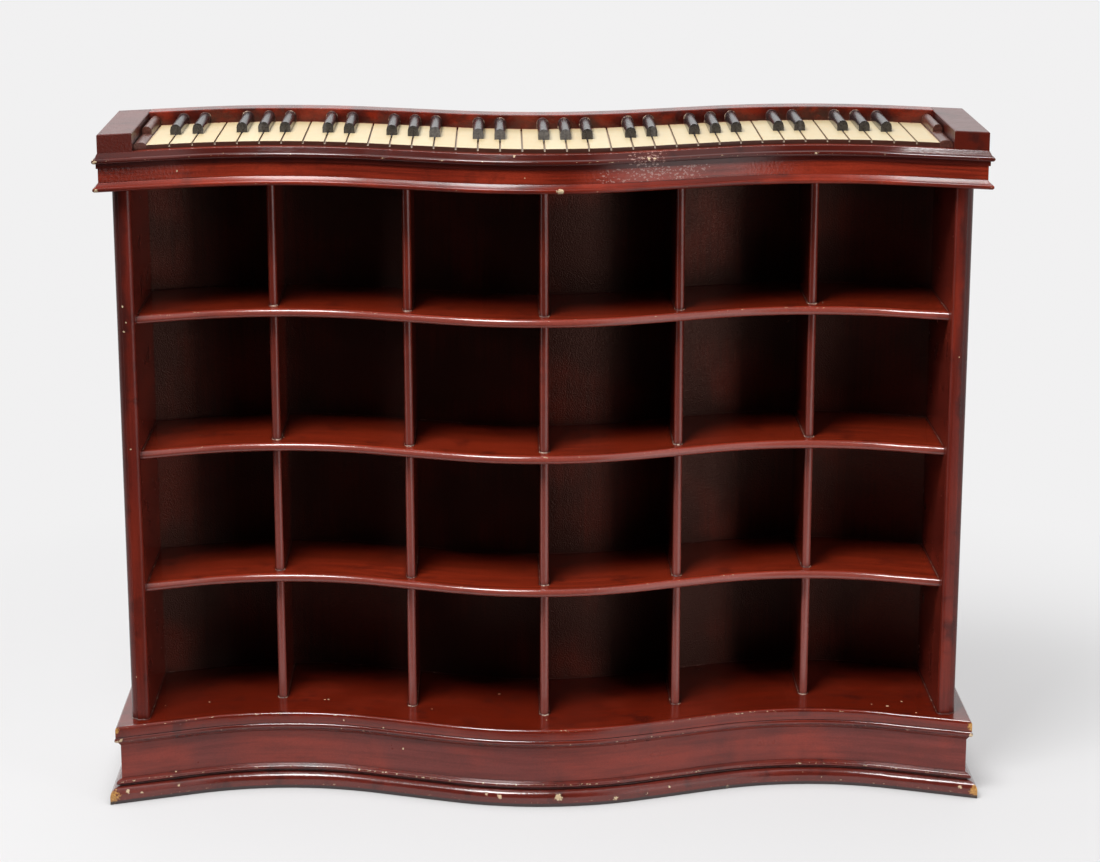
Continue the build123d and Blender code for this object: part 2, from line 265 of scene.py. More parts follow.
# Lacquer, from its darkest glaze to its reddest streaks.
DARK = (0.024, 0.0050, 0.0042, 1)  # glaze, and painted shade in the corners
SOOT = (0.044, 0.0105, 0.0085, 1)  # glaze on the side panels' fronts
DEEP = (0.080, 0.0080, 0.0034, 1)
MID = (0.135, 0.0110, 0.0036, 1)
WARM = (0.200, 0.0138, 0.0030, 1)
EMBER = (0.300, 0.0255, 0.0072, 1)
GLOWING = (0.400, 0.0365, 0.0105, 1)
RED = (0.300, 0.0320, 0.0130, 1)
DUSK = (0.168, 0.0275, 0.0215, 1)  # dusty lacquer
PAINTED_SHEEN = (0.280, 0.0740, 0.0590, 1)  # painted sheen: a pale veil of light on rounded fronts
# Where the lacquer has gone.
CREAM = (0.700, 0.560, 0.3600, 1)  # bare ground
TAN = (0.42, 0.30, 0.17, 1)
GOLD = (0.520, 0.270, 0.0600, 1)  # bare wood
BROWN_WOOD = (0.30, 0.13, 0.03, 1)
CRACK = (0.50, 0.30, 0.25, 1)
# Painted shade along the lowest edge of the base mould.
FOOT_SHADE = (0.022, 0.016, 0.016, 1)
# The back panel.
# The inner colours are dark lacquer darkened further as painted shade.
BACK_DARK = (0.018, 0.0036, 0.0026, 1)
BACK_BROWN = (0.075, 0.0078, 0.0036, 1)
BACK_PIT = (0.014, 0.0040, 0.0032, 1)
BACK_SHEEN = (1.0, 0.58, 0.46, 1)
# The natural keys.
KEY_CREAM = (0.545, 0.465, 0.296, 1)
KEY_AGED = (0.515, 0.410, 0.238, 1)
KEY_GRAIN = (0.64, 0.44, 0.21, 1)
KEY_SOIL = (0.60, 0.39, 0.18, 1)
KEY_EDGE = (0.45, 0.30, 0.15, 1)
KEY_STAIN = (0.24, 0.070, 0.030, 1)
KEY_FLECK = (0.10, 0.05, 0.03, 1)
KEY_FRONT_DARK = (0.020, 0.006, 0.004, 1)
KEY_FRONT_BROWN = (0.075, 0.020, 0.009, 1)
KERF = (0.260, 0.185, 0.130, 1)
KERF_TIP = (0.62, 0.50, 0.36, 1)
# The sharp keys.
BLACK = (0.012, 0.011, 0.012, 1)
SOFT_BLACK = (0.040, 0.036, 0.038, 1)
RUBBED_DARK = (0.045, 0.044, 0.048, 1)
RUBBED_GREY = (0.120, 0.115, 0.120, 1)
SHARP_FLECK = (0.45, 0.38, 0.28, 1)
# The strips beside the keys, and the bare wood inside.
BROWN_DARK = (0.052, 0.017, 0.012, 1)
BROWN = (0.115, 0.038, 0.026, 1)
BROWN_SOIL = (0.26, 0.16, 0.11, 1)
SOFTWOOD = (0.50, 0.34, 0.17, 1)
SOFTWOOD_RING = (0.33, 0.19, 0.08, 1)
SOFTWOOD_FIBRE = (0.25, 0.15, 0.07, 1)
# Cracked paint lines.
SEAM_GAP = (0.050, 0.011, 0.008, 1)
SEAM_SPECK = (0.10, 0.035, 0.025, 1)
PALE_SEAM = (0.34, 0.25, 0.19, 1)
NOSE_SEAM = (0.46, 0.34, 0.26, 1)
RAIL_SEAM = (0.38, 0.27, 0.19, 1)

# Noise scales of the brushing, per millimetre.
ALONG = (0.010, 0.30, 0.30)
UPRIGHT = (0.30, 0.30, 0.010)
CORNER_GLAZE_AND_SHADE = 0.78  # share of dark glaze and painted shade in the corners
RUBBED_SHARPS_X = -48.0  # middle of the group whose fronts are rubbed most

# Knocks that the photograph shows, at their places on the object: X, Y, Z and radius.
MOULD_CHIPS = [
    (-61.5, -108.8, 11.6, 2.2), (-48.0, -112.1, 10.3, 2.8), (13.8, -115.5, 10.5, 4.6),
    (74.0, -107.0, 6.0, 3.2), (98.8, -100.0, 8.5, 1.5), (108.2, -97.0, 7.3, 1.5),
    (131.5, -89.0, 10.3, 2.2), (195.6, -69.8, 2.4, 2.2), (-440.4, -94.9, 12.4, 2.4),
    (-425.9, -90.8, 9.1, 2.0), (-388.9, -77.8, 12.1, 2.0), (-356.9, -68.0, 9.7, 2.2),
    (-350.0, -66.5, 9.9, 1.8), (-316.0, -60.2, 9.7, 1.2), (277.8, -56.8, 12.1, 2.0),
    (297.4, -58.4, 8.3, 1.9), (359.4, -68.7, 9.2, 1.7), (440.7, -95.0, 10.2, 2.8),
    (-198.2, -63.1, 21.8, 1.4), (-169.0, -71.9, 22.7, 1.2),
]
MOULD_CORNERS = [(-457.0, -101.0, 8.0, 9.5), (457.0, -101.0, 8.0, 9.0)]
BOARD_CHIPS = [
    (-213.6, -59.1, 76.4, 1.3), (-170.9, -70.7, 72.0, 1.2), (-48.0, -2.0, 83.2, 1.5),
    (2.0, -80.0, 83.2, 1.0), (368.1, -45.9, 83.2, 2.2), (385.1, -32.5, 83.2, 1.5),
    (-236.0, -14.5, 83.2, 1.6), (-232.5, -14.2, 83.2, 1.6), (396.0, -66.0, 83.2, 1.2),
    (352.0, -40.0, 83.2, 1.1), (-360.0, -20.0, 83.2, 0.9), (-120.0, -45.0, 83.2, 0.9),
]
BOARD_CORNERS = [(-451.0, -93.0, 79.0, 4.6), (451.0, -93.0, 77.0, 5.2)]
BEAD_CHIPS = [
    (-445.8, -92.5, 68.0, 2.4), (-450.0, -93.6, 67.0, 2.4), (-215.9, -59.1, 67.5, 1.0),
    (112.7, -91.0, 68.0, 1.2), (451.0, -93.5, 67.5, 3.4),
]
CORNICE_CHIPS = [
    (-324.7, -54.5, 683.5, 2.4), (-30.7, -105.0, 690.0, 1.6), (98.0, -92.8, 684.0, 2.4),
    (104.0, -91.3, 684.2, 2.6), (110.0, -89.8, 684.0, 2.2), (-449.5, -92.0, 683.0, 3.0),
]
LOW_CHIPS = [(15.7, -109.9, 654.7, 4.2), (-449.5, -92.0, 654.5, 2.8)]
FRIEZE_CHIPS = [(-370.8, -62.5, 669.3, 1.1), (-20.0, -104.3, 668.0, 1.0)]
SHELF_CHIPS = [
    (334.3, -44.2, 515.0, 2.4), (330.0, -43.0, 516.0, 1.6), (-279.1, 2.6, 372.4, 2.6),
    (-275.0, 1.0, 372.4, 1.7),
]
PANEL_CHIPS = [
    (x, line_y(SIDE_X, FRONT_SIDE), z, radius)
    for x, z, radius in (
        (-430.0, 531.0, 1.3), (-426.8, 514.0, 0.9), (-429.4, 504.5, 1.4), (-427.0, 380.0, 1.1),
        (427.0, 474.0, 0.8), (-430.5, 131.0, 0.9),
    )
]


def near_rim(g, place, x, z, patch):
    """One on the outer part of a side panel's front; the band is wider near the top."""
    starts = g.ramp(z, 220.0, 600.0, 432.5, 425.0)
    outer = g.math("SUBTRACT", g.math("ABSOLUTE", x), starts)
    outer = g.math("MULTIPLY_ADD", g.math("SUBTRACT", patch, 0.5), 16.0, outer)
    outer = g.math("MULTIPLY", g.ramp(outer, -3.0, 4.0), g.ramp(g.inset(place), 32.0, 24.0))
    return g.math("MULTIPLY", outer, g.ramp(z, 150.0, 560.0, 0.65, 1.0))


def lacquer(
    name, grain, gloss=0.24, redness=0.5, glaze=0.5, chips=(), worn=(), arris=(),
    foot_shade=False, dust=0.0, contrast=0.6, coat=0.8, bent=True, mid=MID, shade_reach=7.0,
    relief=0.45, warm=(), crazed=None, flecks=0.05, crown=None, front_sheen=None, rim=0.0,
):
    """Red brown lacquer brushed over wood, with dark glaze and painted shade in its corners.

    Lengths are millimetres. grain scales the brushing, which follows the front line if
    bent. mid is the colour of the lighter streaks and contrast how much they differ.
    gloss is the roughness, coat the weight of the clear coat and relief that of the bump.
    redness, glaze, dust and rim are shares of other colours, and flecks is the share of
    cells with a bare fleck. chips and worn list bare spots (X, Y, Z, radius), arris lists
    edges rubbed bare (height, half width, threshold) and warm redder stretches (X, reach).
    crazed is (centre, reach, share of red). nook is how far the painted shade and the dark
    glaze reach out of a corner, feet paints shade along the lowest edge, crown is the height
    about which a flat bead looks round, and rubbed gives the shares of a painted pale sheen,
    at the top and at the foot, on what looks forward.
    """
    made, g = material(name)
    place = g.place()
    x, y, z = g.split(place)
    course = g.join_axes(x, g.inset(place), z) if bent else place
    streak = g.noise(course, grain, 4.0, 0.62)
    cloud = g.noise(place, 0.011, 3.0, 0.55)
    patch = g.noise(place, 0.034, 3.0, 0.6)
    fine = g.noise(place, 0.9, 3.0, 0.6)

    half = 0.5 * contrast
    color = g.mix(g.ramp(streak, 0.36, 0.66, 0.5 - half, 0.5 + half), DEEP, mid)
    if dust:
        color = g.mix(g.ramp(streak, 0.34, 0.66, 0.45 * dust, dust), color, DUSK)
    glow = g.ramp(cloud, 0.47, 0.68)
    for middle, reach in warm:
        off = g.math("ABSOLUTE", g.math("SUBTRACT", x, middle))
        glow = g.math("MAXIMUM", glow, g.ramp(off, reach, 0.3 * reach))
    glow = g.math("MULTIPLY", glow, g.ramp(streak, 0.32, 0.60, 0.45, 1.0))
    color = g.mix(g.math("MULTIPLY", glow, redness), color, RED)
    color = g.mix(g.math("MULTIPLY", g.ramp(patch, 0.54, 0.72), glaze), color, DARK)
    # Painted sheen: a pale veil of light on what looks forward, with given shares at the top and
    # at the foot.
    if front_sheen:
        forward = g.facing("Normal")[1]
        sheen_share = g.ramp(z, 560.0, 200.0, *front_sheen)
        sheen_share = g.math("MULTIPLY", g.ramp(forward, -0.15, -0.75), sheen_share)
        color = g.mix(sheen_share, color, PAINTED_SHEEN)
    if rim:
        soot = g.math("MULTIPLY", near_rim(g, place, x, z, patch), rim)
        color = g.mix(soot, color, SOOT)
    color = g.mix(g.ramp(fine, 0.3, 0.7, 0.0, 0.28), color, DARK)
    # Painted shade, with the dark glaze, in corners and grooves.
    color = g.mix(g.math("MULTIPLY", g.shut(shade_reach), CORNER_GLAZE_AND_SHADE), color, DARK)

    bare = g.specks(place, 14.0, flecks, 1.0)
    if chips:
        bare = g.math("MAXIMUM", bare, g.spots(place, chips))
    for middle, half_band, threshold in arris:
        off = g.math("ABSOLUTE", g.math("SUBTRACT", z, middle))
        rub = g.math("LESS_THAN", off, half_band)
        broken = g.noise(place, (0.20, 0.20, 0.5), 5.0, 0.72)
        broken = g.math("GREATER_THAN", broken, threshold)
        bare = g.math("MAXIMUM", bare, g.math("MULTIPLY", rub, broken))
    if crazed:
        centre, reach, flush = crazed
        away = g.vector("DISTANCE", place, centre)
        cracked = g.ramp(away, reach, 0.4 * reach)
        if flush:
            color = g.mix(g.math("MULTIPLY", cracked, flush), color, GLOWING)
        bend = g.math("MULTIPLY_ADD", g.noise(place, 0.5, 2.0), 3.0, z)
        strokes = g.join_axes(g.math("MULTIPLY", x, 0.45), y, bend)
        cracked = g.specks(strokes, 1.2, g.math("MULTIPLY", cracked, 0.85), 1.2)
        color = g.mix(g.math("MULTIPLY", cracked, 0.55), color, CRACK)
    color = g.mix(bare, color, g.mix(patch, CREAM, TAN))
    if worn:
        gone = g.spots(place, worn)
        color = g.mix(gone, color, g.mix(g.ramp(fine, 0.4, 0.6), GOLD, BROWN_WOOD))
        bare = g.math("MAXIMUM", bare, gone)
    # Painted shade along the lowest edge, next to the floor.
    if foot_shade:
        low = g.ramp(z, 4.6, 2.8)
        color = g.mix(g.math("MULTIPLY", low, 0.9), color, FOOT_SHADE)

    pebble = g.noise(place, 0.35, 3.0, 0.55)
    brush = g.noise(course, tuple(2.6 * s for s in grain), 3.0, 0.6)
    height = g.math("MULTIPLY_ADD", brush, 0.25, g.math("MULTIPLY", pebble, 0.60))
    height = g.math("SUBTRACT", height, g.math("MULTIPLY", bare, 0.5))
    if crown:
        # A height that falls away on both sides bends the highlight like a round bead.
        off = g.math("SUBTRACT", z, crown)
        off = g.math("MULTIPLY", g.math("MULTIPLY", off, off), -0.028 / relief)
        height = g.math("ADD", height, off)
    rough = g.math("MULTIPLY_ADD", patch, 0.14, gloss - 0.07)
    rough = g.math("MULTIPLY_ADD", bare, 0.4, rough)
    g.surface(color, rough, height, specular=0.32, bump=relief, coat=coat)
    return made


def back_finish():
    """Dark lacquer with a pebbled skin inside, darkened there as painted shade; plain brown paint
    outside.
    """
    made, g = material("lacquer_back")
    place = g.place()
    grain = g.noise(place, UPRIGHT, 4.0, 0.62)
    cloud = g.noise(place, 0.009, 2.0, 0.5)
    pebble = g.noise(place, 0.80, 1.0, 0.5)
    tone = g.math("MULTIPLY_ADD", g.math("SUBTRACT", grain, 0.5), 0.25, cloud)
    # Inside, dark lacquer made darker still as painted shade of the compartments.
    inner = g.mix(g.ramp(tone, 0.40, 0.66), BACK_DARK, BACK_BROWN)
    inner = g.mix(g.ramp(pebble, 0.45, 0.70, 0.0, 0.5), inner, BACK_PIT)
    outer = g.mix(g.ramp(grain, 0.36, 0.66), DEEP, MID)
    outside = g.math("GREATER_THAN", g.facing()[1], 0.3)
    color = g.mix(outside, inner, outer)
    # Painted shade in the corners.
    color = g.mix(g.math("MULTIPLY", g.shut(9.0), 0.7), color, DARK)
    height = g.math("MULTIPLY", pebble, 0.9)
    rough = g.math("MULTIPLY_ADD", cloud, 0.10, 0.25)
    g.surface(color, rough, height, specular=0.55, bump=0.85, tint=BACK_SHEEN)
    return made


def natural_finish():
    """Cream keys with stained fronts, pale kerfs and paint that ran in from the rail."""
    made, g = material("cream_lacquer")
    place = g.place()
    x, _, z = g.split(place)
    up = g.facing()[2]
    inset = g.inset(place)
    along = g.math("DIVIDE", g.math("ADD", x, NATURALS_X), KEY_PITCH)
    key = g.add("TexWhiteNoise", noise_dimensions="1D")
    g.join(g.math("FLOOR", along), key.inputs["W"])
    tone = key.outputs["Value"]
    grain = g.noise(place, (0.9, 0.02, 0.4), 3.0, 0.6)
    soil = g.noise(place, 0.07, 4.0, 0.65)
    color = g.mix(tone, KEY_CREAM, KEY_AGED)
    color = g.mix(g.ramp(grain, 0.35, 0.75, 0.0, 0.25), color, KEY_GRAIN)
    color = g.mix(g.ramp(soil, 0.52, 0.75, 0.0, 0.35), color, KEY_SOIL)

    part = g.math("FRACT", along)
    edge = g.math("MINIMUM", part, g.math("SUBTRACT", 1.0, part))
    edge = g.math("MULTIPLY", edge, KEY_PITCH)
    color = g.mix(g.ramp(edge, 2.4, 0.7, 0.0, 0.45), color, KEY_EDGE)
    ran = g.math("MULTIPLY_ADD", g.noise(place, 0.16, 4.0, 0.6), 11.0, RAIL_INSET - 9.0)
    ran = g.ramp(g.math("SUBTRACT", inset, ran), -1.2, 1.6)
    color = g.mix(g.math("MULTIPLY", ran, 0.85), color, KEY_STAIN)
    color = g.mix(g.specks(place, 9.0, 0.05, 0.9), color, KEY_FLECK)

    streak = g.noise(place, (0.05, 0.4, 0.4), 3.0, 0.6)
    stain = g.mix(streak, KEY_FRONT_DARK, KEY_FRONT_BROWN)
    front = g.math("LESS_THAN", inset, KEY_FRONT)
    front = g.math("MULTIPLY", g.math("LESS_THAN", up, 0.5), front)
    color = g.mix(front, color, stain)
    groove = g.math("LESS_THAN", z, KERF_TOP)
    groove = g.math("MULTIPLY", groove, g.math("SUBTRACT", 1.0, front))
    color = g.mix(groove, color, KERF)
    tip = g.math("MULTIPLY", groove, g.math("LESS_THAN", inset, KERF_END))
    color = g.mix(tip, color, KERF_TIP)
    height = g.math("MULTIPLY_ADD", grain, 0.3, g.math("MULTIPLY", soil, 0.4))
    rough = g.math("MULTIPLY_ADD", soil, 0.2, 0.38)
    g.surface(color, rough, height, specular=0.35, bump=0.35)
    return made


def sharp_finish():
    """Satin black keys, greyer and rubbed on their front faces."""
    made, g = material("black_lacquer")
    place = g.place()
    rub = g.noise(place, 0.5, 4.0, 0.7)
    wide = g.noise(place, (0.05, 0.0, 0.0), 2.0, 0.5)
    color = g.mix(g.ramp(rub, 0.35, 0.7), BLACK, SOFT_BLACK)
    front = g.math("LESS_THAN", g.facing()[1], -0.6)
    grey = g.mix(g.ramp(rub, 0.3, 0.7), RUBBED_DARK, RUBBED_GREY)
    off = g.math("ABSOLUTE", g.math("SUBTRACT", g.split(place)[0], RUBBED_SHARPS_X))
    group = g.math("MAXIMUM", g.ramp(off, 84.0, 72.0), g.ramp(wide, 0.56, 0.62, 0.0, 0.6))
    color = g.mix(g.math("MULTIPLY", front, group), color, grey)
    color = g.mix(g.specks(place, 6.0, 0.05, 0.7), color, SHARP_FLECK)
    height = g.math("MULTIPLY", g.noise(place, 0.7, 3.0, 0.6), 0.5)
    rough = g.math("MULTIPLY_ADD", rub, 0.12, 0.15)
    g.surface(color, rough, height, specular=0.8, bump=0.12)
    return made


def brown_finish():
    """Dark brown stain on the strips and blocks at the ends of the keys."""
    made, g = material("brown_lacquer")
    place = g.place()
    grain = g.noise(place, (0.5, 0.03, 0.5), 4.0, 0.6)
    soil = g.noise(place, 0.25, 4.0, 0.65)
    color = g.mix(g.ramp(grain, 0.3, 0.7), BROWN_DARK, BROWN)
    color = g.mix(g.ramp(soil, 0.56, 0.74, 0.0, 0.5), color, BROWN_SOIL)
    color = g.mix(g.specks(place, 6.0, 0.10, 1.0), color, CREAM)
    height = g.math("MULTIPLY_ADD", grain, 0.4, g.math("MULTIPLY", soil, 0.5))
    rough = g.math("MULTIPLY_ADD", soil, 0.2, 0.24)
    g.surface(color, rough, height, specular=0.45, bump=0.4)
    return made


def raw_finish():
    """Unpainted softwood inside the boxes."""
    made, g = material("raw_softwood")
    place = g.place()
    ring = g.noise(place, (0.008, 0.12, 0.12), 3.0, 0.5)
    ring = g.math("FRACT", g.math("MULTIPLY", ring, 9.0))
    fibre = g.noise(place, (0.03, 1.1, 1.1), 3.0, 0.6)
    color = g.mix(g.ramp(ring, 0.2, 0.95), SOFTWOOD, SOFTWOOD_RING)
    color = g.mix(g.ramp(fibre, 0.3, 0.7, 0.0, 0.3), color, SOFTWOOD_FIBRE)
    height = g.math("MULTIPLY", fibre, 0.6)
    g.surface(color, 0.75, height, specular=0.3, bump=0.5)
    return made


def seam_finish(name, pale, cover):
    """A broken line of pale paint; cover is how much of it has gone at the front."""
    made, g = material(name)
    place = g.place()
    broken = g.noise(place, 0.16, 5.0, 0.75)
    fine = g.noise(place, 1.3, 3.0, 0.6)
    hidden = g.ramp(g.inset(place), 60.0, 110.0, cover, cover + 0.08)
    shown = g.ramp(broken, hidden, g.math("ADD", hidden, 0.14))
    color = g.mix(shown, SEAM_GAP, pale)
    color = g.mix(g.ramp(fine, 0.45, 0.7, 0.0, 0.6), color, SEAM_SPECK)
    height = g.math("MULTIPLY", fine, 0.4)
    g.surface(color, 0.5, height, specular=0.35, bump=0.4)
    return made


def paint(names, finish):
    """Gives each of the named nodes one material."""
    for name in names:
        slots = nodes[name].data.materials
        slots.clear()
        slots.append(finish)


def with_sides(stem):
    """The names of a left and a right piece."""
    return [f"{stem}_left", f"{stem}_right"]


paint(
    ["frieze_front"],
    lacquer(
        "lacquer_frieze", ALONG, gloss=0.22, redness=0.9, glaze=0.35, chips=FRIEZE_CHIPS,
        shade_reach=11.0, coat=0.5, dust=0.2, mid=EMBER,
        warm=[(-315.0, 110.0), (-40.0, 60.0), (265.0, 110.0)],
        crazed=((116.0, -92.0, 671.0), 72.0, 0.35),
    ),
)
paint(
    with_sides("frieze"),
    lacquer("lacquer_frieze_side", (0.30, 0.010, 0.30), redness=0.6, bent=False, shade_reach=11.0),
)
paint(
    ["cornice_mould_front"] + with_sides("cornice_mould"),
    lacquer(
        "lacquer_cornice", ALONG, gloss=0.15, redness=0.10, glaze=0.7, chips=CORNICE_CHIPS,
        arris=[(683.6, 0.9, 0.645)], relief=0.09, coat=0.4, dust=0.15, mid=DARK,
        crazed=((104.0, -94.0, 684.0), 24.0, 0.0),
    ),
)
paint(
    ["cornice_bead_front"] + with_sides("cornice_bead"),
    lacquer(
        "lacquer_low_cornice", ALONG, gloss=0.31, redness=0.9, glaze=0.35, chips=LOW_CHIPS,
        arris=[(654.0, 1.0, 0.665)], mid=WARM, warm=[(-300.0, 140.0)], relief=0.16, coat=0.2,
        crown=660.0,
    ),
)
paint(["top_board"], lacquer("lacquer_top_board", ALONG, gloss=0.32, redness=0.2))
paint(
    ["plinth_front"] + with_sides("plinth"),
    lacquer(
        "lacquer_plinth", (0.009, 0.14, 0.14), gloss=0.30, redness=0.55, glaze=0.15,
        chips=[(-150.3, -72.9, 49.1, 1.3)], dust=0.9, contrast=0.8, shade_reach=24.0, coat=0.35,
        relief=0.35, warm=[(-270.0, 90.0), (70.0, 70.0)],
    ),
)
paint(
    ["base_mould_front"] + with_sides("base_mould"),
    lacquer(
        "lacquer_base_mould", ALONG, gloss=0.22, redness=0.2, glaze=0.6, chips=MOULD_CHIPS,
        worn=MOULD_CORNERS, arris=[(5.0, 1.0, 0.64), (21.6, 0.8, 0.61)], foot_shade=True, dust=0.45,
        relief=0.30, mid=DEEP,
    ),
)
paint(
    ["plinth_bead_front"] + with_sides("plinth_bead"),
    lacquer(
        "lacquer_plinth_bead", ALONG, gloss=0.20, redness=0.3, chips=BEAD_CHIPS,
        arris=[(66.4, 0.9, 0.63)], dust=0.2, relief=0.25,
    ),
)
paint(
    ["base_board"],
    lacquer(
        "lacquer_base_board", ALONG, redness=0.3, glaze=0.45, chips=BOARD_CHIPS,
        worn=BOARD_CORNERS, arris=[(81.6, 0.8, 0.625)], contrast=0.4, coat=0.7, mid=WARM,
        relief=0.16, flecks=0.02,
    ),
)
paint(
    with_sides("side_panel"),
    lacquer(
        "lacquer_sides", UPRIGHT, gloss=0.25, redness=0.35, glaze=0.6, chips=PANEL_CHIPS,
        dust=0.45, coat=0.0, bent=False, relief=0.3, rim=0.80,
    ),
)
paint(
    ["shelf_1", "shelf_2", "shelf_3"],
    lacquer(
        "lacquer_shelves", ALONG, gloss=0.19, redness=0.35, glaze=0.45, chips=SHELF_CHIPS,
        contrast=0.4, mid=GLOWING, relief=0.15, flecks=0.04, front_sheen=(0.62, 0.62),
        arris=[(BASE_TOP + row * ROW_PITCH - 1.3, 0.6, 0.645) for row in range(1, ROWS)],
    ),
)
paint(
    [name for name in nodes if name.startswith("divider")],
    lacquer(
        "lacquer_dividers", UPRIGHT, redness=0.4, glaze=0.45, bent=False, flecks=0.09,
        front_sheen=(0.10, 0.85),
    ),
)
paint(["back_panel"], back_finish())
paint(
    with_sides("end_block"),
    lacquer(
        "lacquer_end_blocks", (0.30, 0.02, 0.30), gloss=0.32, redness=0.15, glaze=0.7,
        bent=False, coat=0.1, mid=DEEP, shade_reach=10.0,
    ),
)
paint(
    ["rear_rail"],
    lacquer(
        "lacquer_rail", (0.05, 0.05, 0.09), gloss=0.26, redness=0.9, glaze=0.9,
        chips=[(-186.8, 73.0, 709.9, 2.2)], contrast=1.0, coat=0.2, shade_reach=14.0, mid=WARM,
    ),
)
paint(
    ["frieze_rear", "plinth_rear"],
    lacquer("lacquer_rear", ALONG, gloss=0.42, redness=0.1, glaze=0.4),
)
paint(["natural_keys"], natural_finish())
paint(["sharp_keys"], sharp_finish())
paint(with_sides("key_strip") + with_sides("key_round"), brown_finish())
paint(["glue_blocks", "key_bed"], raw_finish())

# Edges of the boards.

WELD = 0.005  # millimetres
SMOOTH_BELOW = 38  # degrees between two faces
ARRIS_ABOVE = 50
# Widths of the arrises in millimetres; what isn't named stays sharp.
ARRIS = {
    "side_panel": 0.5, "frieze": 0.3, "plinth": 0.4, "base_mould": 0.35,
    "cornice_mould": 0.3, "cornice_bead": 0.3, "base_board": 0.4, "sharp_keys": 0.5,
    "key_round": 0.5, "key_strip": 0.4,
}


def smoothing_group():
    """A modifier that shades shallow edges smooth and keeps the sharp ones."""
    tree = bpy.data.node_groups.new("shade_by_angle", "GeometryNodeTree")
    tree.interface.new_socket("Geometry", in_out="INPUT", socket_type="NodeSocketGeometry")
    tree.interface.new_socket("Geometry", in_out="OUTPUT", socket_type="NodeSocketGeometry")
    start = tree.nodes.new("NodeGroupInput")
    stop = tree.nodes.new("NodeGroupOutput")
    drop = tree.nodes.new("GeometryNodeRemoveAttribute")
    drop.inputs["Name"].default_value = "custom_normal"
    faces = tree.nodes.new("GeometryNodeSetShadeSmooth")
    faces.domain = "FACE"
    edges = tree.nodes.new("GeometryNodeSetShadeSmooth")
    edges.domain = "EDGE"
    angle = tree.nodes.new("GeometryNodeInputMeshEdgeAngle")
    test = tree.nodes.new("FunctionNodeCompare")
    test.operation = "LESS_EQUAL"
    test.inputs[1].default_value = radians(SMOOTH_BELOW)
    tree.links.new(angle.outputs["Unsigned Angle"], test.inputs[0])
    tree.links.new(start.outputs[0], drop.inputs[0])
    tree.links.new(drop.outputs[0], faces.inputs[0])
    tree.links.new(faces.outputs[0], edges.inputs[0])
    tree.links.new(test.outputs[0], edges.inputs["Shade Smooth"])
    tree.links.new(edges.outputs[0], stop.inputs[0])
    return tree


shade_by_angle = smoothing_group()


def soften(name, shape):
    """Joins the faces, rounds the sharp arrises a little and sets the shading."""
    weld = shape.modifiers.new("weld", "WELD")
    weld.merge_threshold = WELD * MM
    width = max((w for stem, w in ARRIS.items() if name.startswith(stem)), default=0)
    if width:
        bevel = shape.modifiers.new("arris", "BEVEL")
        bevel.limit_method = "ANGLE"
        bevel.angle_limit = radians(ARRIS_ABOVE)
        bevel.width = width * MM
        bevel.segments = 2
        bevel.use_clamp_overlap = True
    shade = shape.modifiers.new("shade", "NODES")
    shade.node_group = shade_by_angle
    weigh = shape.modifiers.new("weigh", "WEIGHTED_NORMAL")
    weigh.keep_sharp = True


for name, shape in nodes.items():
    soften(name, shape)

# Paint lines and drops.

UP = (0, 0, 1)
HALF_TURN = 12  # steps round a nose or a sharp's top, and along a divider's side
QUARTER_TURN = 6
INNER_POINTS = 14  # along the inner face of a side panel
GAP_STEPS = 20  # along the foot of the back, from upright to upright
PANEL_ROUND = 5.0  # radius of a side panel's inner corner
PANEL_BEAD = 6.5
PANEL_QUIRK = 2.2
DROP_WIDTH = 1.25  # half sizes of a drop
DROP_LENGTH = 2.6
DROP_RISE = 0.8
DROP_SINK = 1.8
DROP_AHEAD = 1.2  # from the middle of a drop to the sharp's front


class Lines:
    """Thin three-sided beads of paint, gathered into one mesh."""

    def __init__(self, name, width):
        self.name = name
        self.width = width
        self.bm = bmesh.new()

    def run(self, points):
        """Points are (corner, first way out, second way out), all in millimetres."""
        rings = []
        for corner, out, up in points:
            wander = 0.75 + 0.5 * noise.noise(Vector(corner) * 0.13)
            reach = self.width * wander
            ring = [
                self.bm.verts.new(Vector(corner) * MM),
                self.bm.verts.new((Vector(corner) + Vector(out) * reach) * MM),
                self.bm.verts.new((Vector(corner) + Vector(up) * reach) * MM),
            ]
            if rings:
                for k in range(3):
                    j = (k + 1) % 3
                    self.bm.faces.new((rings[-1][k], rings[-1][j], ring[j], ring[k]))
            rings.append(ring)
        self.bm.faces.new(rings[0])
        self.bm.faces.new(rings[-1])

    def run_flat(self, outline, z, side=1):
        """A run at the height z round an outline of (place, way out); -1 mirrors it."""
        self.run([((side * px, py, z), (side * ox, oy, 0), UP) for (px, py), (ox, oy) in outline])

    def done(self, finish, slot):
        bmesh.ops.recalc_face_normals(self.bm, faces=self.bm.faces)
        made = add_mesh(self.name, self.bm, finish)
        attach(made, "root")


def arc(middle, radius, start, sweep, steps, first=0):
    """Points on an arc, each with its way out."""
    points = []
    for k in range(first, steps + 1):
        turn = start + sweep * k / steps
        out = (cos(turn), sin(turn))
        points.append(((middle[0] + radius * out[0], middle[1] + radius * out[1]), out))
    return points


def divider_x(column):
    """X of the divider at the left of a column."""
    return (column - COLUMNS / 2) * COLUMN_PITCH


def divider_nose(x):
    """Round the front of a divider's foot."""
    centre = line_y(x, FRONT_DIVIDER) + HALF_DIVIDER
    return arc((x, centre), HALF_DIVIDER, pi, pi, HALF_TURN)


def divider_outline(x):
    """Round the whole foot of a divider, from the back along its left side and back."""
    centre = line_y(x, FRONT_DIVIDER) + HALF_DIVIDER
    sides = []
    for side in (-1, 1):
        edge = x + side * HALF_DIVIDER
        run = line_y(edge, BACK_INSET) - centre
        places = [(edge, centre + run * k / HALF_TURN) for k in range(HALF_TURN, 0, -1)]
        sides.append([(place, (side, 0)) for place in places])
    return sides[0] + divider_nose(x) + sides[1][::-1]


